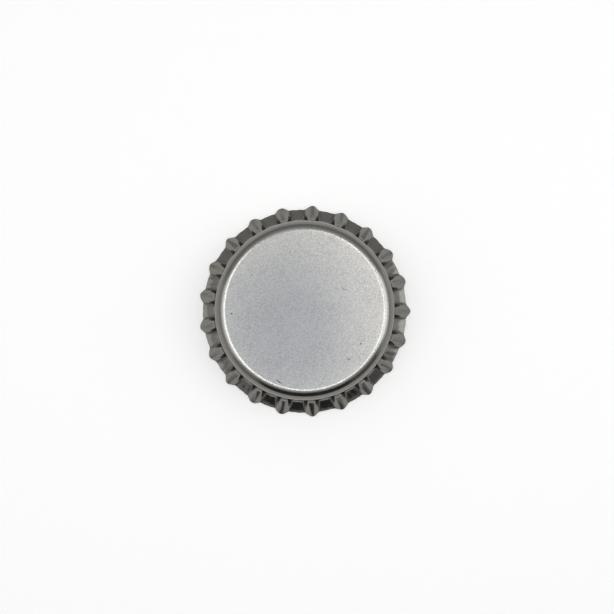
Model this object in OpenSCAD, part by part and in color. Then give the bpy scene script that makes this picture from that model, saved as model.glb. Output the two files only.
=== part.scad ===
// Crown bottle cap, as it leaves the press and before it is crimped: a round panel with a rolled shoulder, a
// flared and fluted skirt with teeth round its rim, and inside it the liner that seals on the bottle's lip.
// Millimetres. The rim stands on z = 0, z is the axis of the cap, and one tooth points along +x.

/* [Cap] */
// Outside diameter of the bottle lip that the cap goes over
lip_d = 26.6; // [25.6:0.1:27.6]
// Clearance on diameter between the lip and the wall of the cap
lip_clearance = 0.15; // [0.05:0.05:0.4]
// Height from the rim to the top of the panel
cap_h = 6; // [5.6:0.1:6.4]
// Thickness of the tinplate sheet
sheet = 0.235; // [0.2:0.005:0.26]
// Outside radius of the shoulder between the panel and the wall
shoulder_r = 1.75; // [1.6:0.05:1.9]

/* [Skirt] */
// Teeth round the rim
teeth = 21; // [19:1:23]
// How far the tip of a tooth stands outside the wall
tooth_reach = 2.44; // [2.2:0.02:2.6]
// How far the rim stands outside the wall between two teeth
valley_reach = 1.84; // [1.7:0.01:1.9]
// Height of the upright cut edge round the rim
edge_h = 0.2; // [0.16:0.01:0.22]
// Radius of the hollow where the wall turns out into a valley
hollow_r = 0.8; // [0.6:0.05:1]
// Slope of a valley at the end of its hollow, from upright
hollow_turn = 53; // [48:1:56]
// Slope of a valley at the rim, from upright
rim_turn = 67; // [64:1:69]

/* [Ridges] */
// How far below the shoulder a ridge leaves the wall
neck_drop = 0.05; // [0.02:0.01:0.1]
// Lean of a ridge's neck, from upright
neck_lean = 6; // [4:0.5:8]
// Radius of the bend in which a ridge turns out from its neck to its tooth
bend_r = 0.8; // [0.6:0.05:1]
// Lean of a ridge's crest along its tooth, from upright
tooth_lean = 50; // [47:1:53]
// Width of a ridge's neck, between its two creases
neck_w = 1.28; // [1.2:0.02:1.36]
// Width of the rounded land along the crest
crest_w = 0.96; // [0.8:0.02:1.1]
// Radius of the rounded land along the crest
crest_r = 1.4; // [1.2:0.05:1.7]
// Slope of the flanks beside the land, from the tangent to the cap
flank_slope = 28; // [25:1:31]
// Width of a ridge where its flanks turn down into the valleys
flank_w = 2; // [1.9:0.02:2.1]
// Slope of the sides below the flanks, from the tangent to the cap
side_slope = 62; // [55:1:70]
// Full width of the crease pressed in on each side of a neck
crease_w = 0.48; // [0.4:0.02:0.5]
// Width across the foot of a crease
crease_foot_w = 0.2; // [0.1:0.02:0.3]
// Height over which a crease widens from its foot
crease_h = 0.5; // [0.4:0.05:1]
// Height of a crease's foot above the rim
crease_foot_h = 1.15; // [1:0.05:1.3]

/* [Liner] */
// Thickness of the liner over the middle of the panel
film_t = 0.25; // [0.2:0.05:0.4]
// Thickness of the ring that the lip presses on
pad_t = 0.7; // [0.5:0.05:0.8]
// Width of the ring that the lip presses on
pad_w = 2.6; // [2.4:0.05:3]
// Gap between that ring and the wall
pad_gap = 0.42; // [0.3:0.02:0.6]
// Radius of the two round beads on the ring
bead_r = 0.45; // [0.35:0.05:0.5]
// How far a bead stands out of the ring
bead_h = 0.3; // [0.2:0.05:0.35]
// Distance between the middles of the beads
bead_spacing = 1.3; // [1.1:0.05:1.4]
// Clearance between the liner and the curve of the shoulder
liner_clearance = 0.02; // [0.01:0.01:0.05]

/* [Hidden] */
$fn = 96;

wall_r = (lip_d + lip_clearance) / 2 + sheet; // outside of the upright wall
panel_r = wall_r - shoulder_r; // edge of the flat panel
shoulder_z = cap_h - shoulder_r; // where the shoulder becomes the wall
tip_r = wall_r + tooth_reach;
pitch = 360 / teeth;

into_body = 2; // how far ridges and cutting tools run on into what they join or cut
run_on = 1; // how far the lengths of a ridge run on past where they meet
past_rim = 1; // how far the skirt runs on past the rim before it is cut to the rim's outline
side_run = 0.4; // how far a tooth's outline runs on down its sides, into the round of the rim
hollow_steps = 3; // facets of the tight arc in the section of a valley
valley_steps = 2; // facets of its wide arc
land_steps = 2; // facets of each half of the land in the rim's outline

// The valley: a tight hollow out of the wall, then a wide arc on out to the rim
valley_r = (valley_reach - hollow_r * (1 - cos(hollow_turn))) / (cos(hollow_turn) - cos(rim_turn));
valley_top = edge_h + valley_r * (sin(rim_turn) - sin(hollow_turn)) + hollow_r * sin(hollow_turn);

// The ridge: its crest is a straight neck, a bend of one facet and a straight tooth down to the cut edge
neck_z = shoulder_z - neck_drop;
corner_out = tooth_reach + edge_h * tan(tooth_lean) - neck_z * tan(neck_lean);
corner_z = corner_out / (tan(tooth_lean) - tan(neck_lean)); // where neck and tooth would meet at a corner
corner = [tip_r - (corner_z - edge_h) * tan(tooth_lean), corner_z];
tooth_l = (corner_z - edge_h) / cos(tooth_lean);
neck_l = (neck_z - corner_z) / cos(neck_lean);
bend_lean = (tooth_lean + neck_lean) / 2;
bend_at = corner + bend_r * (1 / cos(bend_lean - neck_lean) - 1) * [cos(bend_lean), sin(bend_lean)];
crest_drop = crest_r - sqrt(crest_r * crest_r - crest_w * crest_w / 4); // from the crest to the land's edge
flank_apex = crest_w / 2 * tan(flank_slope) - crest_drop; // where the flanks would meet, above the crest
land_foot = 0.08; // how far the arc of the land runs on inside the flanks
flank_drop = flank_w / 2 * tan(flank_slope) - flank_apex; // from the crest to where the sides begin
side_y = flank_w / 2 - flank_drop / tan(side_slope); // where a side would reach the height of the crest

// One side of that section from its middle out, as [drop below the crest, distance from the middle]
land_turn = asin(crest_w / 2 / crest_r);
half_ridge = concat(
    [for (i = [0 : land_steps]) let (a = land_turn * i / land_steps) crest_r * [1 - cos(a), sin(a)]],
    [[flank_drop, flank_w / 2], [flank_drop, flank_w / 2] + side_run * [sin(side_slope), cos(side_slope)]]
);

// The crease: its floor carries on down the wall, a hair outside it
crease_y = (neck_w + crease_w) / 2;
crease_floor = 0.02;

// The liner
liner_top = cap_h - sheet;
pad_r = wall_r - sheet - pad_gap;
pad_face = liner_top - pad_t;

steel = [0.72, 0.73, 0.74];
compound = [0.84, 0.87, 0.86];

// Points along an arc about [x, z] after its start, its angles measured from +x
function arc(x, z, r, from, to, steps) =
    [for (i = [1 : steps]) let (a = from + (to - from) * i / steps) [x + r * cos(a), z + r * sin(a)]];

// Section of the skirt through a valley, from the foot of the wall down past the rim
function valley_line(inset) =
    let (
        out = valley_r - hollow_r,
        line = concat(
            [[wall_r - inset, valley_top]],
            arc(wall_r + hollow_r, valley_top, hollow_r + inset, 180, 180 + hollow_turn, hollow_steps),
            arc(wall_r + hollow_r + out * cos(hollow_turn), valley_top + out * sin(hollow_turn),
                valley_r + inset, 180 + hollow_turn, 180 + rim_turn, valley_steps)
        ),
        end = line[len(line) - 1]
    )
    concat(line, [end + past_rim * [sin(rim_turn), -cos(rim_turn)]]);

// Section of the shoulder: a quarter disc against the edge of the panel
module shoulder(r)
    translate([panel_r, shoulder_z]) intersection() {
        circle(r = r);
        square(shoulder_r);
    }

// What the sheet's outer face encloses, but for the ridges, with that face moved in by inset
module round_form(inset) {
    line = valley_line(inset);
    foot = line[len(line) - 1];
    rotate_extrude() {
        square([panel_r, cap_h - inset]);
        shoulder(shoulder_r - inset);
        polygon(concat([[0, foot[1]], [0, shoulder_z], [wall_r - inset, shoulder_z]], line));
    }
}

// Section of a ridge square to its crest: the crest is at the origin and +x points out of the skirt
module ridge_section(inset) {
    apex = flank_apex - inset / cos(flank_slope);
    side = side_y - inset / sin(side_slope);
    corner_x = (apex / tan(flank_slope) - side) / (1 / tan(flank_slope) - 1 / tan(side_slope));
    corner_y = side - corner_x / tan(side_slope);
    foot_y = side + into_body / tan(side_slope);
    land_x = -crest_drop - inset - land_foot;
    intersection() {
        polygon([
            [apex, 0], [corner_x, corner_y], [-into_body, foot_y],
            [-into_body, -foot_y], [corner_x, -corner_y]
        ]);
        union() {
            translate([-crest_r, 0]) circle(r = crest_r - inset);
            translate([land_x - 2 * into_body, -foot_y]) square([2 * into_body, 2 * foot_y]);
        }
    }
}

// A straight length of ridge through a point of its crest, given as [radius, height]
module ridge_length(at, lean, below, above, inset)
    translate([at[0], 0, at[1]]) rotate([0, -lean, 0]) translate([0, 0, -below])
        linear_extrude(height = below + above) ridge_section(inset);

// One ridge: its tooth, the facet of its bend and its neck, each running on into the others
module ridge(inset) {
    ridge_length([tip_r, edge_h], tooth_lean, into_body, tooth_l + run_on, inset);
    ridge_length(bend_at, bend_lean, run_on, run_on, inset);
    ridge_length(corner, neck_lean, run_on, neck_l + shoulder_r / 3, inset);
}

// The two creases that the press drives in beside the neck of one ridge
module creases(inset) {
    top = crease_w / 2 + inset;
    foot = crease_foot_w / 2 + inset;
    foot_z = crease_foot_h - inset;
    full_z = crease_foot_h + crease_h;
    wedge = [
        [-foot, foot_z], [foot, foot_z], [top, full_z],
        [top, shoulder_z], [-top, shoulder_z], [-top, full_z]
    ];
    for (side = [-1, 1])
        difference() {
            translate([wall_r - into_body, side * crease_y, 0])
                rotate([90, 0, 90]) linear_extrude(height = 2 * into_body) polygon(wedge);
            cylinder(r = wall_r - inset + crease_floor, h = cap_h);
        }
}

// Outline of the rim: a round with a tooth for each ridge, whose section the level rim cuts at a slant
module rim_outline() {
    circle(r = wall_r + valley_reach);
    side = [for (p = half_ridge) [tip_r - p[0] / cos(tooth_lean), p[1]]];
    other = [for (i = [len(side) - 1 : -1 : 1]) [side[i][0], -side[i][1]]];
    for (i = [0 : teeth - 1]) rotate([0, 0, i * pitch]) polygon(concat(side, other));
}

// What the sheet's outer face encloses, with that face moved in by inset
module pressed_form(inset)
    difference() {
        union() {
            round_form(inset);
            for (i = [0 : teeth - 1]) rotate([0, 0, i * pitch]) ridge(inset);
        }
        for (i = [0 : teeth - 1]) rotate([0, 0, i * pitch]) creases(inset);
    }

// Tinplate shell: one sheet thickness of the pressed form, cut to the rim's outline
module crown_shell()
    color(steel) intersection() {
        difference() {
            pressed_form(0);
            pressed_form(sheet);
        }
        linear_extrude(height = cap_h + past_rim) rim_outline();
    }

// Sealing liner, moulded against the underside of the panel: a thin film inside a thick ring with two beads
module sealing_liner()
    color(compound) rotate_extrude() intersection() {
        union() {
            square([panel_r, liner_top]);
            shoulder(shoulder_r - sheet - liner_clearance);
        }
        union() {
            translate([0, liner_top - film_t]) square([pad_r, sheet + film_t]);
            polygon([
                [pad_r - pad_w - pad_t, liner_top], [pad_r - pad_w, pad_face],
                [pad_r, pad_face], [pad_r, cap_h]
            ]);
            for (side = [-1, 1])
                translate([pad_r - pad_w / 2 + side * bead_spacing / 2, pad_face - bead_h + bead_r])
                    circle(r = bead_r);
        }
    }

crown_shell();
sealing_liner();
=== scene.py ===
# %% [markdown]
# # A crown bottle cap
#
# A crown cap starts as a flat disc of tinplate. A press draws it into a shallow dome and throws the rim
# into twenty-one flutes, and a ring of soft compound is moulded inside it to seal on the bottle. The solids
# of both pieces come from the frame. Here they get their final surfaces, their finishes and a small studio.

import math

import bpy
import numpy as np
from mathutils import Matrix, Vector


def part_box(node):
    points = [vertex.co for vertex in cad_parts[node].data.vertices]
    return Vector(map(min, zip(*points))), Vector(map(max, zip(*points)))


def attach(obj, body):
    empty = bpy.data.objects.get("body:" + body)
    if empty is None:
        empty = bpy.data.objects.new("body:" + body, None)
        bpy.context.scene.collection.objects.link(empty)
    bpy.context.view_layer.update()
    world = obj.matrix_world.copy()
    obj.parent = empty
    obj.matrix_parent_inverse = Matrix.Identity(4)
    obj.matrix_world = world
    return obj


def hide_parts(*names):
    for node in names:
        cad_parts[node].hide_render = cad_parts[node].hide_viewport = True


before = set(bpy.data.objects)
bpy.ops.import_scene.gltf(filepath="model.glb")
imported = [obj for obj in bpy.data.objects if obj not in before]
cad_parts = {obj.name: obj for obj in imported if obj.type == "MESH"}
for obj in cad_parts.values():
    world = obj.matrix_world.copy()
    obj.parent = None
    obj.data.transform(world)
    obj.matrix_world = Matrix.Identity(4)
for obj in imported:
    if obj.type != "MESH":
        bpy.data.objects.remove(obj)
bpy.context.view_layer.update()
print("nodes:", sorted(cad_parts))

# %% [markdown]
# ## Sizes
#
# The shapes below are worked out in millimetres, which suit so small a thing, and turned into metres when
# they become meshes. The outer sizes are read from the frame, so the pieces made here always fit the
# solids.

# %% Sizes of the shell, in millimetres
MM = 0.001

shell_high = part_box("crown_shell")[1]

TEETH = 21
HALF_PITCH = math.pi / TEETH
SHEET = 0.235
TIP_R = shell_high.x / MM
CAP_H = shell_high.z / MM
RIDGE_REACH = 2.44
WALL_R = TIP_R - RIDGE_REACH
SHOULDER_R = 1.75
PANEL_R = WALL_R - SHOULDER_R
SHOULDER_Z = CAP_H - SHOULDER_R
print("tip radius", round(TIP_R, 3), "wall radius", round(WALL_R, 3), "panel radius", round(PANEL_R, 3))

# %% Sizes of the valleys
VALLEY_REACH = 1.84
EDGE_H = 0.2
HOLLOW_R = 0.8
HOLLOW_TURN = math.radians(53)
RIM_TURN = math.radians(72)
VALLEY_R = ((VALLEY_REACH - HOLLOW_R * (1 - math.cos(HOLLOW_TURN)))
            / (math.cos(HOLLOW_TURN) - math.cos(RIM_TURN)))
VALLEY_TOP = (EDGE_H + VALLEY_R * (math.sin(RIM_TURN) - math.sin(HOLLOW_TURN))
              + HOLLOW_R * math.sin(HOLLOW_TURN))
print("a valley leaves the wall at", round(VALLEY_TOP, 2), "and its wide arc has radius", round(VALLEY_R, 2))

# %% Sizes of the ridges
NECK_Z = SHOULDER_Z - 0.05
NECK_LEAN = math.radians(6)
TOOTH_LEAN = math.radians(50)
BEND_R = 0.8
CREST_W = 0.96
CREST_R = 1.4
FLANK_SLOPE = math.radians(28)
FLANK_W = 2.0
SIDE_SLOPE = math.radians(62)
LAND_DROP = CREST_R - math.sqrt(CREST_R ** 2 - CREST_W ** 2 / 4)
FLANK_APEX = CREST_W / 2 * math.tan(FLANK_SLOPE) - LAND_DROP
FLANK_DROP = FLANK_W / 2 * math.tan(FLANK_SLOPE) - FLANK_APEX
CORNER_Z = ((TIP_R - WALL_R + EDGE_H * math.tan(TOOTH_LEAN) - NECK_Z * math.tan(NECK_LEAN))
            / (math.tan(TOOTH_LEAN) - math.tan(NECK_LEAN)))
TANGENT = BEND_R * math.tan((TOOTH_LEAN - NECK_LEAN) / 2)
TOOTH_L = (CORNER_Z - EDGE_H) / math.cos(TOOTH_LEAN) - TANGENT
BEND_X = TIP_R - TOOTH_L * math.sin(TOOTH_LEAN) + BEND_R * math.cos(TOOTH_LEAN)
BEND_Z = EDGE_H + TOOTH_L * math.cos(TOOTH_LEAN) + BEND_R * math.sin(TOOTH_LEAN)
print("a ridge bends out at", round(CORNER_Z, 2), "and its flanks drop", round(FLANK_DROP, 2))

# %% Sizes of the creases
NECK_W = 1.28
CREASE_W = 0.48
CREASE_FOOT_W = 0.2
CREASE_H = 0.5
CREASE_FOOT_H = 1.15
CREASE_Y = (NECK_W + CREASE_W) / 2
CREASE_R = WALL_R + 0.4
CREASE_FLOOR = 0.02
print("the middle of a crease is", round(CREASE_Y, 2), "from the middle of its ridge")

# %% [markdown]
# ## The fluted skirt as one function
#
# The skirt is the rim of the disc, drawn down by the press into ridges and valleys, and pinched into a
# crease on each side of every ridge. It could be modelled as one flute and copied round, but then all
# flutes would be alike and their fillets would need care at each seam. Seen along the axis, the skirt never
# folds back over itself, so one number says where it is: its distance from the axis at a given height and
# angle. Ridges, valleys and creases are each such a function, and they are joined by a smooth maximum,
# which leaves the small round fillets of pressed sheet where two forms meet.

# %% Smooth joins
def smooth_max(a, b, width):
    """The larger of a and b, plus a quarter of width times the square of their overlap within width."""
    overlap = np.clip(1 - np.abs(a - b) / width, 0, 1)
    return np.maximum(a, b) + width / 4 * overlap ** 2


def smooth_step(low, high, x):
    """0 on low's side, 1 on high's side, and the cubic 3t^2 - 2t^3 of the share t of the way between."""
    t = np.clip((x - low) / (high - low), 0, 1)
    return t * t * (3 - 2 * t)


print("two level forms of width 1 join", smooth_max(0.0, 0.0, 1.0), "above both")


# %% Ridges
LAND_BLEND = 0.06
SIDE_BLEND = 0.12


def off_ridge(angle):
    """The angle from the middle of the nearest ridge."""
    return (angle + HALF_PITCH) % (2 * HALF_PITCH) - HALF_PITCH


def crest_radius(z, depth):
    """The line of the crest moved in by depth: a straight tooth leaning out at the tooth's slope, an arc
    whose radius grows with depth, and a straight neck leaning at the neck's slope."""
    tooth = TIP_R - (z - EDGE_H) * math.tan(TOOTH_LEAN) - depth / math.cos(TOOTH_LEAN)
    neck = WALL_R + (NECK_Z - z) * math.tan(NECK_LEAN) - depth / math.cos(NECK_LEAN)
    radius = BEND_R + depth
    bend = BEND_X - np.sqrt(np.clip(radius ** 2 - (z - BEND_Z) ** 2, 0, None))
    return np.where(z < BEND_Z - radius * math.sin(TOOTH_LEAN), tooth,
                    np.where(z > BEND_Z - radius * math.sin(NECK_LEAN), neck, bend))


def ridge_radius(angle, z, inset):
    """Square to the crest the surface drops by the largest of a parabola for the land, a slope for the
    flank and a steep slope for the side. The radius is where a ray at this angle meets that surface, found
    by a few rounds of y = radius times the sine of the angle, each taken half way."""
    away = off_ridge(angle)
    radius = crest_radius(z, inset * np.ones_like(away))
    for _ in range(8):
        y = np.abs(radius * np.sin(away))
        land = y ** 2 / (2 * CREST_R) + inset
        flank = y * math.tan(FLANK_SLOPE) - FLANK_APEX + inset / math.cos(FLANK_SLOPE)
        side = FLANK_DROP + (y - FLANK_W / 2) * math.tan(SIDE_SLOPE) + inset / math.cos(SIDE_SLOPE)
        drop = smooth_max(smooth_max(land, flank, LAND_BLEND), side, SIDE_BLEND)
        radius = (radius + crest_radius(z, drop) / np.cos(away)) / 2
    return radius


print("a crest is", round(float(crest_radius(EDGE_H, 0.0)), 2), "out at the rim,",
      round(float(crest_radius(NECK_Z, 0.0)), 2), "at the neck")


# %% Valleys
def valley_radius(z, inset):
    """Down the wall, then out by a tight hollow arc and a wide arc, both hollow towards the outside."""
    tight, wide = HOLLOW_R + inset, VALLEY_R + inset
    out = VALLEY_R - HOLLOW_R
    wide_x = WALL_R + HOLLOW_R + out * math.cos(HOLLOW_TURN)
    wide_z = VALLEY_TOP + out * math.sin(HOLLOW_TURN)
    if z > VALLEY_TOP:
        return WALL_R - inset
    if z > VALLEY_TOP - tight * math.sin(HOLLOW_TURN):
        return WALL_R + HOLLOW_R - math.sqrt(tight ** 2 - (VALLEY_TOP - z) ** 2)
    return wide_x - math.sqrt(wide ** 2 - (wide_z - z) ** 2)


print("a valley is", round(valley_radius(EDGE_H, 0.0), 2), "out at the rim")


# %% Unevenness
RIPPLE = 0.017
RIPPLES = ((34, 2.1, 0.4), (55, -1.3, 2.0), (89, 2.9, 1.1))


def unevenness(angle, z):
    """How far the pressed sheet strays from its true form: three equal sine waves, each with its own number
    of waves round the cap, slant and start. No number is a multiple of the teeth, so no two flutes are
    alike."""
    waves = [np.sin(waves_round * angle + slant * z + start) for waves_round, slant, start in RIPPLES]
    return RIPPLE * sum(waves)


print("the sheet strays by at most", round(RIPPLE * len(RIPPLES), 3))


# %% Creases
def in_crease(angle, z, inset, spread=0.0, lowered=0.0):
    """How far a point lies inside the wedge of a crease, sideways or above its foot, whichever is less. The
    wedge widens evenly with height up to its full width. Spread widens it away from the ridge, and lowered
    moves its foot down."""
    y = np.abs(CREASE_R * np.sin(off_ridge(angle)))
    above_foot = z - (CREASE_FOOT_H - inset)
    share = np.clip(above_foot / (CREASE_H + inset), 0, 1)
    half_width = (CREASE_FOOT_W + (CREASE_W - CREASE_FOOT_W) * share) / 2 + inset
    beside = half_width + spread - np.abs(y - CREASE_Y - spread)
    return np.minimum(beside, above_foot + lowered)


crease_middle = math.asin(CREASE_Y / CREASE_R)
print("half a crease is", round(float(in_crease(crease_middle, NECK_Z, 0.0)), 2), "wide at the neck")


# %% Painted shade in creases and folds
SHADE_SPREAD = 0.05
SHADE_BELOW = 0.08
SHADE_SOFT = 0.04
FOLD_SHADE = 0.4
FOLD_GAP = 0.25
FOLD_WIDTH = 0.35


def painted_shade(angle, z, inset, gap):
    """Painted shade: how dark the sheet is painted in its creases and folds, where shade falls. 1 in a crease
    and a little beside and below it. Along the foot of a ridge, a bell curve of the gap by which the valley
    stands out past the ridge."""
    inside = in_crease(angle, z, inset, SHADE_SPREAD, SHADE_BELOW)
    crease = smooth_step(-SHADE_SOFT, SHADE_SOFT, inside)
    fold = FOLD_SHADE * np.exp(-((gap - FOLD_GAP) / FOLD_WIDTH) ** 2)
    return np.maximum(crease, fold)


print("dullness along a fold:", round(float(painted_shade(HALF_PITCH, EDGE_H, 0.0, FOLD_GAP)), 2))


# %% The skirt
FILLET = 0.25
NECK_FILLET = 0.15
FILLET_FULL = 0.6
UNEVEN_FULL = 0.3
WALL_FADE = 0.3
CREASE_SOFT = 0.05
CREASE_FROM, CREASE_FULL = 0.2, 0.5


def skirt_radius(angle, z, inset=0.0):
    """The smooth maximum of ridge and valley, with fillets that grow as the ridge stands out. It is uneven
    where it has left the wall, blended into the wall just under the shoulder, and sunk back to the wall
    inside the creases. Also gives the painted shade: how dark the sheet is painted in creases and folds."""
    wall = WALL_R - inset
    ridge, valley = ridge_radius(angle, z, inset), valley_radius(z, inset)
    stands_out = crest_radius(z, inset) - wall
    fillet = FILLET * (NECK_FILLET + (1 - NECK_FILLET) * smooth_step(0, FILLET_FULL, stands_out))
    radius = smooth_max(ridge, valley, fillet)
    radius = radius + unevenness(angle, z) * smooth_step(0, UNEVEN_FULL, radius - wall)
    radius = wall + (radius - wall) * smooth_step(SHOULDER_Z, SHOULDER_Z - WALL_FADE, z)
    soft = CREASE_SOFT + inset / 3
    crease = smooth_step(-soft, soft, in_crease(angle, z, inset))
    crease_share = smooth_step(CREASE_FROM, CREASE_FULL, stands_out)
    sunk = radius - np.minimum(radius, wall + CREASE_FLOOR)
    shaded = crease_share * painted_shade(angle, z, inset, valley - ridge)
    return radius - sunk * crease * crease_share, shaded


middle, tip = [float(skirt_radius(np.array([a]), EDGE_H)[0][0]) for a in (HALF_PITCH, 0.0)]
print("rim from", round(middle, 2), "in a valley to", round(tip, 2), "at a tooth")

# %% [markdown]
# ## From function to mesh
#
# The surface is a grid of rows and columns. Columns go round the cap, closer together over the creases
# where the shape changes quickly, and rows go from the middle of the panel out and down to the rim, round
# its cut edge, and back up inside, so the shell is one closed sheet with the real thickness. A Solidify
# modifier could give the thickness too, but in so tight a crease its inner face could fold over itself.

# %% Columns
COLUMN_R = WALL_R + 0.3
CREASE_NEAR, CREASE_FAR = 0.5, 1.3


def column_angles():
    """Distances along a circle of radius COLUMN_R, from a ridge's middle to the valley's middle and dense
    over the crease. Divided by that radius they are angles, mirrored about the ridge and repeated for each
    tooth."""
    half = np.concatenate([
        np.linspace(0, CREASE_NEAR, 5, endpoint=False),
        np.linspace(CREASE_NEAR, CREASE_FAR, 13, endpoint=False),
        np.linspace(CREASE_FAR, COLUMN_R * HALF_PITCH, 5, endpoint=False),
    ]) / COLUMN_R
    one = np.concatenate([[-HALF_PITCH], -half[:0:-1], half])
    return (one[None, :] + 2 * HALF_PITCH * np.arange(TEETH)[:, None]).ravel()


COLUMNS = column_angles()
print("columns:", len(COLUMNS))

# %% Rows
EDGE_ROUND = 0.03
PANEL_RINGS = (3.0, 7.0, 10.5, 11.6)
DENSE_FOOT, DENSE_TOP, DENSE_TOP_INSIDE = 1.0, 2.5, 2.4
OUTER_HEIGHTS = np.concatenate([
    np.linspace(NECK_Z, DENSE_TOP, 8, endpoint=False),
    np.linspace(DENSE_TOP, DENSE_FOOT, 26, endpoint=False),
    np.linspace(DENSE_FOOT, EDGE_H + EDGE_ROUND, 14),
])
INNER_HEIGHTS = np.concatenate([
    np.linspace(EDGE_ROUND, DENSE_FOOT, 7, endpoint=False),
    np.linspace(DENSE_FOOT, DENSE_TOP_INSIDE, 9, endpoint=False),
    np.linspace(DENSE_TOP_INSIDE, NECK_Z, 4),
])
print("rows on the outside:", len(OUTER_HEIGHTS), "inside:", len(INNER_HEIGHTS))


# %% The grid
def arc(centre_r, centre_z, radius, start, end, count):
    """Points on an arc about a centre, as radius and height: the centre plus radius times cosine and sine.
    Its angles are in degrees from the outward direction."""
    a = np.radians(np.linspace(start, end, count))
    return np.stack([centre_r + radius * np.cos(a), centre_z + radius * np.sin(a)], 1)


def shell_grid():
    """Rows of radius, height and painted crease shade over all columns: panel and shoulder, skirt, rounded
    cut edge, then back up inside."""
    ones = np.ones_like(COLUMNS)
    dome = np.concatenate([
        [[r, CAP_H] for r in PANEL_RINGS],
        arc(PANEL_R, SHOULDER_Z, SHOULDER_R, 90, 0, 13),
    ])
    inner_dome = np.concatenate([
        arc(PANEL_R, SHOULDER_Z, SHOULDER_R - SHEET, 0, 90, 9),
        [[PANEL_RINGS[1], CAP_H - SHEET]],
    ])
    outline = skirt_radius(COLUMNS, EDGE_H)[0]
    inner_edge = skirt_radius(COLUMNS, 0.0, SHEET)[0]
    edge = [
        (outline - EDGE_ROUND / 3, EDGE_H + EDGE_ROUND / 3),
        (outline, EDGE_H - EDGE_ROUND),
        (outline, EDGE_ROUND),
        (outline - EDGE_ROUND, 0.0),
        (inner_edge + EDGE_ROUND, 0.0),
    ]
    rows = [(r * ones, z, 0 * ones) for r, z in dome]
    rows += [(r, z, shaded) for z in OUTER_HEIGHTS for r, shaded in [skirt_radius(COLUMNS, z)]]
    rows += [(r, z, 0 * ones) for r, z in edge]
    rows += [(r, z, shaded) for z in INNER_HEIGHTS for r, shaded in [skirt_radius(COLUMNS, z, SHEET)]]
    rows += [(r * ones, z, 0 * ones) for r, z in inner_dome]
    radii, heights, painted_shades = zip(*rows)
    return np.array(radii), np.array(heights)[:, None] * ones, np.array(painted_shades)


radii, heights, painted_shades = shell_grid()
print("grid of", radii.shape[0], "rows and", radii.shape[1], "columns")

# %% [markdown]
# ## Meshes from rings
#
# Both pieces are rings of points round the axis, so one helper turns such rows into a closed mesh. Spinning
# a profile would do for the liner, but not for the fluted shell.

# %% Meshes from rings
def ring_mesh(name, radii, heights, columns, first_pole, last_pole):
    """A closed mesh: rings of points given by radius, height and angle, joined by quads, with a pole at
    each end. A point's place is radius times the cosine and sine of its angle, and its height."""
    rows, count = radii.shape
    rings = np.stack([radii * np.cos(columns), radii * np.sin(columns), heights], 2).reshape(-1, 3)
    points = np.concatenate([rings, [[0, 0, first_pole], [0, 0, last_pole]]]) * MM
    here = np.arange(count)
    after = (here + 1) % count
    row = (np.arange(rows - 1) * count)[:, None]
    quads = np.stack([row + here, row + count + here, row + count + after, row + after], 2).reshape(-1, 4)
    last = (rows - 1) * count
    first_fan = np.stack([np.full(count, rows * count), here, after], 1)
    last_fan = np.stack([np.full(count, rows * count + 1), last + after, last + here], 1)
    mesh = bpy.data.meshes.new(name)
    mesh.from_pydata(points.tolist(), [], quads.tolist() + first_fan.tolist() + last_fan.tolist())
    mesh.polygons.foreach_set("use_smooth", np.ones(len(mesh.polygons), bool))
    mesh.update()
    piece = bpy.data.objects.new(name, mesh)
    bpy.context.scene.collection.objects.link(piece)
    print(name, "has", 2 * len(quads) + 2 * count, "triangles")
    return piece


def add_mask(piece, name, values):
    """Stores one number for each ring point of the piece, and 0 at its two poles."""
    attribute = piece.data.attributes.new(name, "FLOAT", "POINT")
    attribute.data.foreach_set("value", np.append(values.ravel(), [0, 0]).astype(np.float32))


# %% The shell
DRAWN_FROM = PANEL_R + 0.1 * SHOULDER_R
DRAWN_FULL = PANEL_R + 0.5 * SHOULDER_R

shell = ring_mesh("tinplate_shell", radii, heights, COLUMNS, CAP_H, CAP_H - SHEET)
# The crease mask holds the painted shade of creases and folds.
add_mask(shell, "crease", painted_shades)
add_mask(shell, "drawn", smooth_step(DRAWN_FROM, DRAWN_FULL, radii))
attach(shell, "root")
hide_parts("crown_shell")

# %% [markdown]
# ## The liner
#
# The liner is poured against the underside of the panel and pressed to shape: a thin film with a thick ring
# round it, and two round beads on the ring. Its profile could be drawn by hand and spun. Here its lower
# face is again one function, a depth at each radius, so its sizes stay tied to the shell's.

# %% Sizes of the liner, in millimetres
LINER_TOP = CAP_H - SHEET
FILM_T = 0.25
PAD_T = 0.7
PAD_W = 2.6
PAD_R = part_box("sealing_liner")[1].x / MM
BEAD_R = 0.45
BEAD_H = 0.3
BEAD_SPACING = 1.3
LINER_CORNER = 0.04
LINER_CLEARANCE = 0.02
print("the liner reaches", round(PAD_T + BEAD_H, 2), "below the panel at its beads, out to", round(PAD_R, 3))

# %% The liner's lower face
RING_BLEND, BEAD_BLEND = 0.04, 0.03


def liner_depth(r):
    """How far the liner reaches below the panel: the deepest of film, sloped ring and two round beads."""
    ring = np.clip(PAD_T + (r - (PAD_R - PAD_W)), 0, PAD_T)
    depth = smooth_max(np.full_like(r, FILM_T), ring, RING_BLEND)
    for side in (-1, 1):
        off = r - (PAD_R - PAD_W / 2 + side * BEAD_SPACING / 2)
        round_part = np.sqrt(np.clip(BEAD_R ** 2 - off ** 2, 0, None))
        bead = np.where(np.abs(off) < BEAD_R, PAD_T + BEAD_H - BEAD_R + round_part, 0)
        depth = smooth_max(depth, bead, BEAD_BLEND)
    return depth


film_edge = np.array([PAD_R - PAD_W])
print("the liner is", round(float(liner_depth(film_edge)[0]), 3), "thick where the film meets the ring")


# %% The liner
FILM_RINGS = np.linspace(2, PAD_R - PAD_W - 1, 4)
PAD_RINGS = np.linspace(PAD_R - PAD_W - 0.8, PAD_R - LINER_CORNER, 64)
TOP_RINGS = (PANEL_R - 0.05, 6.0)


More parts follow.
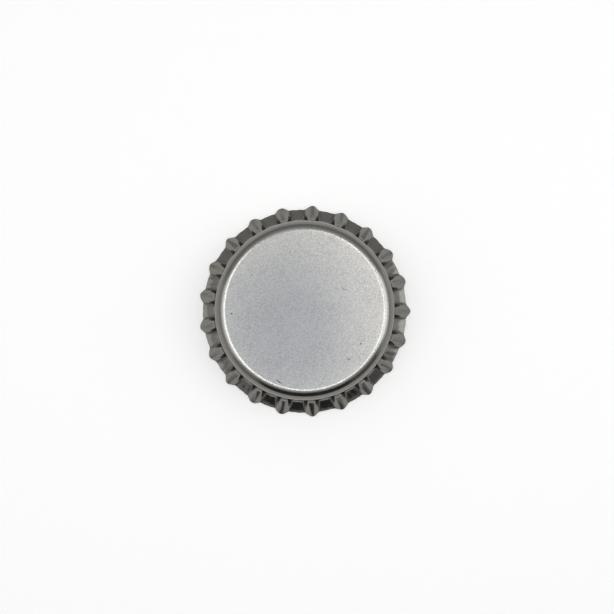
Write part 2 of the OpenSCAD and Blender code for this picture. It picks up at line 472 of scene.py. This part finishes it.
def liner_grid(columns):
    """The lower face from the middle out, the upright edge, then back along a circle that stays clear of
    the inside of the shoulder, and flat under the panel."""
    lower_r = np.concatenate([FILM_RINGS, PAD_RINGS])
    lower = np.stack([lower_r, LINER_TOP - liner_depth(lower_r)], 1)
    edge_z = lower[-1, 1]
    limit = SHOULDER_R - SHEET - LINER_CLEARANCE
    upper_r = np.linspace(PAD_R, PANEL_R, 8)
    upper = np.stack([upper_r, SHOULDER_Z + np.sqrt(limit ** 2 - (upper_r - PANEL_R) ** 2)], 1)
    top = [[r, LINER_TOP] for r in TOP_RINGS]
    profile = np.concatenate([lower, [[PAD_R, edge_z + LINER_CORNER]], upper, top])
    ones = np.ones((1, len(columns)))
    return profile[:, :1] * ones, profile[:, 1:] * ones


liner_columns = np.linspace(0, 2 * math.pi, 256, endpoint=False)
liner_radii, liner_heights = liner_grid(liner_columns)
liner = ring_mesh("moulded_liner", liner_radii, liner_heights, liner_columns, LINER_TOP - FILM_T, LINER_TOP)
liner.data.flip_normals()
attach(liner, "root")
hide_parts("sealing_liner")

# %% [markdown]
# ## Effects shared by the finishes
#
# Both finishes need a fine grain, and the tin has small marks at chosen places. They could be painted as
# images, but a group of shader nodes needs no files and stays sharp from near by. Each group reads Object
# coordinates, so it stays where it is on the piece whatever the view.

# %% Building groups
def new_group(name, inputs, outputs):
    """An empty group of shader nodes. Inputs are (name, kind, value), outputs are (name, kind)."""
    group = bpy.data.node_groups.new(name, "ShaderNodeTree")
    for title, kind, value in inputs:
        group.interface.new_socket(title, in_out="INPUT", socket_type=kind).default_value = value
    for title, kind in outputs:
        group.interface.new_socket(title, in_out="OUTPUT", socket_type=kind)
    return group, group.nodes.new("NodeGroupInput"), group.nodes.new("NodeGroupOutput")


def add_node(tree, kind, settings=(), links=(), **values):
    """A node with its settings, the values of its named sockets, and links from other nodes' sockets."""
    node = tree.nodes.new(kind)
    for key, value in dict(settings).items():
        setattr(node, key, value)
    for key, value in values.items():
        node.inputs[key.replace("_", " ")].default_value = value
    for key, source in dict(links).items():
        tree.links.new(source, node.inputs[key])
    return node


def math_node(tree, operation, a, b=0.0, clamp=False):
    """A Math node on two inputs, each a number or another node's socket. Returns its result socket."""
    node = tree.nodes.new("ShaderNodeMath")
    node.operation, node.use_clamp = operation, clamp
    for socket, value in zip(node.inputs, (a, b)):
        if isinstance(value, (int, float)):
            socket.default_value = value
        else:
            tree.links.new(value, socket)
    return node.outputs[0]


# %% Fine grain
# The noise stays near one half, so it is spread about one half to use the whole range from 0 to 1.
SPREAD = 2.2

grain_group, g_in, g_out = new_group(
    "fine_grain",
    [("Grain Size", "NodeSocketFloat", 0.3 * MM), ("Cloud Size", "NodeSocketFloat", 6 * MM)],
    [("Grain", "NodeSocketFloat"), ("Cloud", "NodeSocketFloat")])
g_place = add_node(grain_group, "ShaderNodeTexCoord").outputs["Object"]
for output, size in (("Grain", "Grain Size"), ("Cloud", "Cloud Size")):
    scale = math_node(grain_group, "DIVIDE", 1.0, g_in.outputs[size])
    noise = add_node(grain_group, "ShaderNodeTexNoise", links={"Vector": g_place, "Scale": scale},
                     Detail=2.0, Roughness=0.6)
    stretched = math_node(grain_group, "MULTIPLY", noise.outputs["Fac"], SPREAD)
    spread = math_node(grain_group, "ADD", stretched, (1 - SPREAD) / 2, clamp=True)
    grain_group.links.new(spread, g_out.inputs[output])
print("fine_grain has", len(grain_group.nodes), "nodes")

# %% A small mark
# An oval: reach is the sum of the squares of how far a point lies along and across the mark, counted in
# its half length and half width. The mask is the slope times what reach lacks to its limit, kept between 0
# and 1. A bent mark lies aside by its bend times the square of the way along.
MARK_REACH, MARK_SLOPE = 2.0, 0.8

mark_group, m_in, m_out = new_group(
    "small_mark",
    [("Place", "NodeSocketVector", (0, 0, 0)), ("Turn", "NodeSocketFloat", 0.0),
     ("Half Length", "NodeSocketFloat", 0.2 * MM), ("Half Width", "NodeSocketFloat", 0.1 * MM),
     ("Bend", "NodeSocketFloat", 0.0)],
    [("Mask", "NodeSocketFloat")])
m_place = add_node(mark_group, "ShaderNodeTexCoord").outputs["Object"]
m_from = add_node(mark_group, "ShaderNodeVectorMath", {"operation": "SUBTRACT"},
                  {0: m_place, 1: m_in.outputs["Place"]})
m_turned = add_node(mark_group, "ShaderNodeVectorRotate", {"rotation_type": "Z_AXIS"},
                    {"Vector": m_from.outputs[0], "Angle": m_in.outputs["Turn"]})
m_parts = add_node(mark_group, "ShaderNodeSeparateXYZ", links={0: m_turned.outputs[0]})
along = math_node(mark_group, "DIVIDE", m_parts.outputs["X"], m_in.outputs["Half Length"])
along_2 = math_node(mark_group, "MULTIPLY", along, along)
sag = math_node(mark_group, "MULTIPLY", along_2, m_in.outputs["Bend"])
across = math_node(mark_group, "DIVIDE", math_node(mark_group, "SUBTRACT", m_parts.outputs["Y"], sag),
                   m_in.outputs["Half Width"])
across_2 = math_node(mark_group, "MULTIPLY", across, across)
reach = math_node(mark_group, "ADD", along_2, across_2)
mask = math_node(mark_group, "SUBTRACT", MARK_REACH * MARK_SLOPE,
                 math_node(mark_group, "MULTIPLY", reach, MARK_SLOPE), clamp=True)
mark_group.links.new(mask, m_out.inputs["Mask"])
print("small_mark has", len(mark_group.nodes), "nodes")


# %% Using a group
def use_group(tree, group, **values):
    """A group node in a material's tree, with its named inputs set."""
    return add_node(tree, "ShaderNodeGroup", {"node_tree": group}, **values)


def mix_colours(tree, share, a, b, blend="MIX"):
    """A colour between a and b, or between a and a times b, by a share from 0 to 1. Each is a value or a
    socket. On this node the sockets for colours are inputs 6 and 7 and output 2."""
    node = tree.nodes.new("ShaderNodeMix")
    node.data_type, node.blend_type = "RGBA", blend
    for socket, value in ((node.inputs[0], share), (node.inputs[6], a), (node.inputs[7], b)):
        if isinstance(value, (int, float)):
            socket.default_value = value
        elif isinstance(value, tuple):
            socket.default_value = (*value, 1)
        else:
            tree.links.new(value, socket)
    return node.outputs[2]


def ramp(tree, value, low, high, at_low=0.0, at_high=1.0):
    """A number that goes smoothly from at_low to at_high while a socket's value goes from low to high."""
    node = add_node(tree, "ShaderNodeMapRange", {"interpolation_type": "SMOOTHSTEP"}, {"Value": value},
                    From_Min=low, From_Max=high, To_Min=at_low, To_Max=at_high)
    return node.outputs[0]


def new_material(name):
    """A material with an empty tree but for its shader and output."""
    material = bpy.data.materials.new(name)
    material.use_nodes = True
    return material, material.node_tree, material.node_tree.nodes["Principled BSDF"]


# %% [markdown]
# ## Tinplate
#
# Tinplate is thin steel with a bright skin of tin under clear lacquer, so it is all metal and its look is
# what it reflects. The flat panel is satin from the rolls. It is painted darker and cooler in one place and
# lighter and warmer round it, partly the tin's own uneven tone and partly painted light falling from the
# right. The tool has rubbed the shoulder smooth. The sheet pulled down into the skirt is painted darker, a
# painted shade for the darker surroundings it mirrors, and finely scuffed, and its creases and folds are
# painted near black as painted shade.
# One material does it all, because it is one sheet: masks stored on the mesh and distances say where each
# finish begins.

# %% Tinplate colours
# Painted light: the panel's cool colour is painted where it is less lit and the warm one where light falls
# from the right; the difference is partly the tin's own uneven tone.
PANEL_COOL_SHADED = (0.380, 0.391, 0.410)
PANEL_WARM_LIT = (0.566, 0.562, 0.549)
GRAIN_DARK = (0.57, 0.57, 0.585)
GRAIN_LIGHT = (1.05, 1.05, 1.035)
COOL_SHADED_PLACE = (-2.5 * MM, -3 * MM, CAP_H * MM)
COOL_OVAL = (1.02, 0.85, 1)
SHOULDER_COLOUR = (0.602, 0.600, 0.580)
# Painted shade: the skirt's dark colour stands in for the darker surroundings it mirrors.
SKIRT_SHADED_COLOUR = (0.206, 0.201, 0.187)
SCUFF_DARK = (0.84, 0.84, 0.83)
SCUFF_LIGHT = (1.11, 1.11, 1.10)
# Painted shade: the near black of creases and folds.
CREASE_SHADE_COLOUR = (0.05, 0.048, 0.045)
MARK_COLOUR = (0.10, 0.10, 0.11)

MARKS = [
    dict(Place=(5.79 * MM, 3.19 * MM, CAP_H * MM), Turn=0.7, Half_Length=0.5 * MM, Half_Width=0.04 * MM,
         Bend=0.25 * MM),
    dict(Place=(-10.97 * MM, -0.58 * MM, CAP_H * MM), Half_Length=0.14 * MM, Half_Width=0.1 * MM),
    dict(Place=(8.5 * MM, -5.1 * MM, CAP_H * MM), Half_Length=0.12 * MM, Half_Width=0.1 * MM),
    dict(Place=(6.7 * MM, -7.4 * MM, CAP_H * MM), Half_Length=0.12 * MM, Half_Width=0.09 * MM),
    dict(Place=(-3.87 * MM, -10.8 * MM, CAP_H * MM), Turn=0.6, Half_Length=0.45 * MM, Half_Width=0.08 * MM),
]
print("the panel's colour goes from", PANEL_COOL_SHADED, "to", PANEL_WARM_LIT)

# %% Tinplate surface
TIN_GRAIN = 0.19 * MM
TIN_CLOUD = 5 * MM
COOL_FROM, WARM_FROM = 3 * MM, 16 * MM
EVEN_PATCH, STRONG_PATCH, WARM_PATCH = 0.55, 0.85, 0.25
PANEL_ROUGHNESS = 0.29
CLOUD_ROUGHER = 0.05
SHOULDER_SMOOTHER = 0.16
CREASE_ROUGHER = 0.3
PANEL_RELIEF, SKIRT_RELIEF = 0.009 * MM, 0.003 * MM
SHOULDER_FROM = math.hypot(PANEL_R, CAP_H) * MM
SHOULDER_FULL = math.hypot(PANEL_R + 0.3, CAP_H) * MM
print("roughness from", PANEL_ROUGHNESS, "to", round(PANEL_ROUGHNESS + CLOUD_ROUGHER, 2), "on the panel and",
      round(SHOULDER_SMOOTHER, 2), "less on the shoulder")

# %% Tinplate masks
tin, tree, shader = new_material("tinplate")
grain = use_group(tree, grain_group, Grain_Size=TIN_GRAIN, Cloud_Size=TIN_CLOUD)
drawn = add_node(tree, "ShaderNodeAttribute", {"attribute_name": "drawn"}).outputs["Fac"]
# The crease mask on the mesh says where creases and folds get painted shade.
crease = add_node(tree, "ShaderNodeAttribute", {"attribute_name": "crease"}).outputs["Fac"]
place = add_node(tree, "ShaderNodeTexCoord").outputs["Object"]
from_cool = add_node(tree, "ShaderNodeVectorMath", {"operation": "SUBTRACT"}, {0: place})
from_cool.inputs[1].default_value = COOL_SHADED_PLACE
oval = add_node(tree, "ShaderNodeVectorMath", {"operation": "MULTIPLY"}, {0: from_cool.outputs["Vector"]})
oval.inputs[1].default_value = COOL_OVAL
off = add_node(tree, "ShaderNodeVectorMath", {"operation": "LENGTH"}, {0: oval.outputs["Vector"]})
# Painted light: lighter and warmer away from the cool spot, partly for light falling from the right.
warm_lit = ramp(tree, off.outputs["Value"], COOL_FROM, WARM_FROM)
from_middle = add_node(tree, "ShaderNodeVectorMath", {"operation": "LENGTH"}, {0: place}).outputs["Value"]
burnished = ramp(tree, from_middle, SHOULDER_FROM, SHOULDER_FULL)
print("masks on the mesh:", [mask.name for mask in shell.data.attributes if mask.data_type == "FLOAT"])

# %% Tinplate colour
colour = mix_colours(tree, warm_lit, PANEL_COOL_SHADED, PANEL_WARM_LIT)
speckle = mix_colours(tree, grain.outputs["Grain"], GRAIN_DARK, GRAIN_LIGHT)
patches = math_node(tree, "ADD", ramp(tree, grain.outputs["Cloud"], 0.0, 1.0, EVEN_PATCH, STRONG_PATCH),
                    math_node(tree, "MULTIPLY", warm_lit, WARM_PATCH))
colour = mix_colours(tree, patches, colour, speckle, "MULTIPLY")
colour = mix_colours(tree, burnished, colour, SHOULDER_COLOUR)
# Painted shade: the drawn skirt is painted dark for the darker surroundings it mirrors.
colour = mix_colours(tree, drawn, colour, SKIRT_SHADED_COLOUR)
scuffs = mix_colours(tree, grain.outputs["Grain"], SCUFF_DARK, SCUFF_LIGHT)
colour = mix_colours(tree, burnished, colour, scuffs, "MULTIPLY")
# Painted shade: creases and folds painted near black where shade falls in them.
colour = mix_colours(tree, crease, colour, CREASE_SHADE_COLOUR)
for values in MARKS:
    mark = use_group(tree, mark_group, **values)
    colour = mix_colours(tree, mark.outputs["Mask"], colour, MARK_COLOUR)
tree.links.new(colour, shader.inputs["Base Color"])
print("the panel carries", len(MARKS), "small marks")

# %% Tinplate roughness and relief
roughness = math_node(tree, "ADD", PANEL_ROUGHNESS,
                      math_node(tree, "MULTIPLY", grain.outputs["Cloud"], CLOUD_ROUGHER))
roughness = math_node(tree, "SUBTRACT", roughness, math_node(tree, "MULTIPLY", burnished, SHOULDER_SMOOTHER))
roughness = math_node(tree, "ADD", roughness, math_node(tree, "MULTIPLY", crease, CREASE_ROUGHER))
tree.links.new(roughness, shader.inputs["Roughness"])
relief = ramp(tree, drawn, 0.0, 1.0, PANEL_RELIEF, SKIRT_RELIEF)
height = math_node(tree, "MULTIPLY", grain.outputs["Grain"], relief)
bump = add_node(tree, "ShaderNodeBump", links={"Height": height}, Strength=1.0, Distance=1.0)
tree.links.new(bump.outputs["Normal"], shader.inputs["Normal"])
shader.inputs["Metallic"].default_value = 1.0
shell.data.materials.append(tin)
print("tinplate has", len(tree.nodes), "nodes")

# %% [markdown]
# ## Liner compound
#
# The liner is a soft pale plastic with a faint blue-green cast. A slow cloud in its colour and a fine grain
# in its roughness keep it from looking painted.

# %% Liner compound
LINER_DARK = (0.70, 0.74, 0.73)
LINER_LIGHT = (0.78, 0.80, 0.79)
LINER_ROUGHNESS = 0.35
LINER_ROUGHER = 0.15

compound, tree, shader = new_material("liner_compound")
grain = use_group(tree, grain_group, Grain_Size=0.5 * MM, Cloud_Size=4 * MM)
colour = mix_colours(tree, grain.outputs["Cloud"], LINER_DARK, LINER_LIGHT)
tree.links.new(colour, shader.inputs["Base Color"])
roughness = math_node(tree, "ADD", LINER_ROUGHNESS,
                      math_node(tree, "MULTIPLY", grain.outputs["Grain"], LINER_ROUGHER))
tree.links.new(roughness, shader.inputs["Roughness"])
liner.data.materials.append(compound)
print("liner_compound has", len(tree.nodes), "nodes")

# %% [markdown]
# ## Studio
#
# The cap stands on a pale sheet and is seen from nearly straight above. A short lens close by would make
# the panel look too large for the rim, so the camera stands a step away with a long lens.

# %% Camera
CAMERA_DISTANCE = 590 * MM
CAMERA_ELEVATION = math.radians(88.2)
VIEW_WIDTH = 93.41 * MM
AIM = np.array([0.365, 0.631, 0.0]) * MM

camera_data = bpy.data.cameras.new("camera")
camera = bpy.data.objects.new("camera", camera_data)
bpy.context.scene.collection.objects.link(camera)
bpy.context.scene.camera = camera
camera_data.lens = camera_data.sensor_width * CAMERA_DISTANCE / VIEW_WIDTH
camera_data.clip_start, camera_data.clip_end = 0.01, 10
back = Vector((0, -math.cos(CAMERA_ELEVATION), math.sin(CAMERA_ELEVATION)))
camera.location = Vector(AIM) + back * CAMERA_DISTANCE
camera.rotation_mode = "QUATERNION"
camera.rotation_quaternion = (-back).to_track_quat("-Z", "Y")
print("lens", round(camera_data.lens), "mm")

# %% [markdown]
# ## Floor and world
#
# The sheet is nearly white. A sheet that only glows would be evenly white but would lose the shadow, so it
# is lit by the lamps and glows a little where it is seen directly or in the tin, and more where it lies far
# from the lamps. The world is brighter near the horizon, so that sheet and background meet without a line.

# %% Floor
SEEN_LIFT = 0.20
FAR_LIFT = 0.36
NEAR, FAR = 0.15, 0.9
FLOOR_GREY, FLOOR_ROUGHNESS, FLOOR_SHINE = 0.95, 0.9, 0.1
FLOOR_SIDE = 4

floor_material, tree, shader = new_material("pale_sheet")
shader.inputs["Base Color"].default_value = (FLOOR_GREY, FLOOR_GREY, FLOOR_GREY, 1)
shader.inputs["Roughness"].default_value = FLOOR_ROUGHNESS
shader.inputs["Specular IOR Level"].default_value = FLOOR_SHINE
light_path = add_node(tree, "ShaderNodeLightPath")
seen = math_node(tree, "MAXIMUM", light_path.outputs["Is Camera Ray"], light_path.outputs["Is Glossy Ray"])
floor_place = add_node(tree, "ShaderNodeTexCoord").outputs["Object"]
from_cap = add_node(tree, "ShaderNodeVectorMath", {"operation": "LENGTH"}, {0: floor_place}).outputs["Value"]
lift = ramp(tree, from_cap, NEAR, FAR, SEEN_LIFT, FAR_LIFT)
shader.inputs["Emission Color"].default_value = (1, 1, 1, 1)
tree.links.new(math_node(tree, "MULTIPLY", seen, lift), shader.inputs["Emission Strength"])
bpy.ops.mesh.primitive_plane_add(size=FLOOR_SIDE)
floor = bpy.context.object
floor.name = "floor"
floor.data.materials.append(floor_material)
print("floor is", tuple(round(side, 2) for side in floor.dimensions), "m")

# %% World
HORIZON, SKY = 0.93, 0.5
HORIZON_TOP, SKY_FROM = 0.06, 0.14

world = bpy.data.worlds.new("studio")
bpy.context.scene.world = world
world.use_nodes = True
background = world.node_tree.nodes["Background"]
direction = add_node(world.node_tree, "ShaderNodeTexCoord").outputs["Generated"]
rise = add_node(world.node_tree, "ShaderNodeSeparateXYZ", links={0: direction}).outputs["Z"]
strength = ramp(world.node_tree, rise, HORIZON_TOP, SKY_FROM, HORIZON, SKY)
world.node_tree.links.new(strength, background.inputs["Strength"])
background.inputs["Color"].default_value = (1, 1, 1, 1)
print("world goes from", HORIZON, "at the horizon to", SKY, "above")

# %% [markdown]
# ## Lamps and flags
#
# The rolled shoulder is a round mirror: from its top edge outwards it shows the room from the zenith down
# to the horizon. So narrow strips near the zenith draw the bright ring, banks and walls lower down light
# the outer shoulder and the valleys, and matt cards in front draw the dark band there. An image of a room
# could light the cap too, but rectangles can be placed one by one. Each faces the cap, and is placed by its
# azimuth, its angle from the zenith and its distance.

# %% Directions
def facing_cap(azimuth, from_zenith):
    """Three unit vectors for a rectangle facing the cap: across, up along it, and outwards from the cap.
    Outwards is the sine of the angle from the zenith times the cosine and sine of the azimuth, then that
    angle's cosine."""
    a, t = math.radians(azimuth), math.radians(from_zenith)
    outwards = Vector((math.sin(t) * math.cos(a), math.sin(t) * math.sin(a), math.cos(t)))
    across = Vector((-math.sin(a), math.cos(a), 0))
    return across, outwards.cross(across), outwards


# %% Lamps
def soft_lamp(name, azimuth, from_zenith, distance, radial, across, radiance, colour=(1, 1, 1)):
    """A rectangular lamp facing the cap. Its power is radiance times pi times its area. Angles are in degrees
    and lengths in metres."""
    data = bpy.data.lights.new(name, "AREA")
    data.shape = "RECTANGLE"
    data.size, data.size_y = across, radial
    data.energy = radiance * math.pi * radial * across
    data.color = colour
    lamp = bpy.data.objects.new(name, data)
    bpy.context.scene.collection.objects.link(lamp)
    axes = facing_cap(azimuth, from_zenith)
    lamp.location = axes[2] * distance
    lamp.rotation_mode = "QUATERNION"
    lamp.rotation_quaternion = Matrix(axes).transposed().to_quaternion()
    lamp.visible_camera = False
    print(name, round(data.energy * 1000, 1), "mW")


soft_lamp("overhead", 20, 4, 0.30, 0.20, 0.24, 0.06)
soft_lamp("right_strip", 24, 12.5, 0.25, 0.045, 0.13, 2.4, (1.0, 0.99, 0.96))
soft_lamp("front_strip", 270, 14.5, 0.25, 0.038, 0.11, 2.3)
soft_lamp("left_strip", 180, 19.2, 0.25, 0.042, 0.16, 2.2)
soft_lamp("right_bank", 4, 42, 0.35, 0.22, 0.22, 1.25)
soft_lamp("left_bank", 186, 40, 0.35, 0.18, 0.26, 0.7)
soft_lamp("back_bank", 95, 20, 0.35, 0.10, 0.30, 0.12)
soft_lamp("right_wall", 0, 70, 0.40, 0.20, 0.40, 0.28)
soft_lamp("left_wall", 185, 72, 0.40, 0.20, 0.40, 0.25)


# %% Flags
def card(name, azimuth, from_zenith, distance, radial, across, grey):
    """A matt card facing the cap, seen only in reflections. Its corners are its middle plus or minus half of
    each side."""
    x_axis, y_axis, outwards = facing_cap(azimuth, from_zenith)
    middle, x_half, y_half = outwards * distance, x_axis * across / 2, y_axis * radial / 2
    corners = [middle + x * x_half + y * y_half for x, y in ((-1, -1), (1, -1), (1, 1), (-1, 1))]
    mesh = bpy.data.meshes.new(name)
    mesh.from_pydata(corners, [], [(0, 1, 2, 3)])
    flag = bpy.data.objects.new(name, mesh)
    bpy.context.scene.collection.objects.link(flag)
    material, tree, shader = new_material(name)
    shader.inputs["Base Color"].default_value = (grey, grey, grey, 1)
    shader.inputs["Roughness"].default_value = 1.0
    flag.data.materials.append(material)
    flag.visible_camera = False
    print(name, "faces the cap from", azimuth, "degrees")


card("front_flag", 271, 63.5, 0.35, 0.25, 0.42, 0.08)
card("side_flag", 318, 63.5, 0.35, 0.25, 0.145, 0.36)

# %% Colours shown as they are
bpy.context.scene.view_settings.view_transform = "Standard"
print("view transform:", bpy.context.scene.view_settings.view_transform)
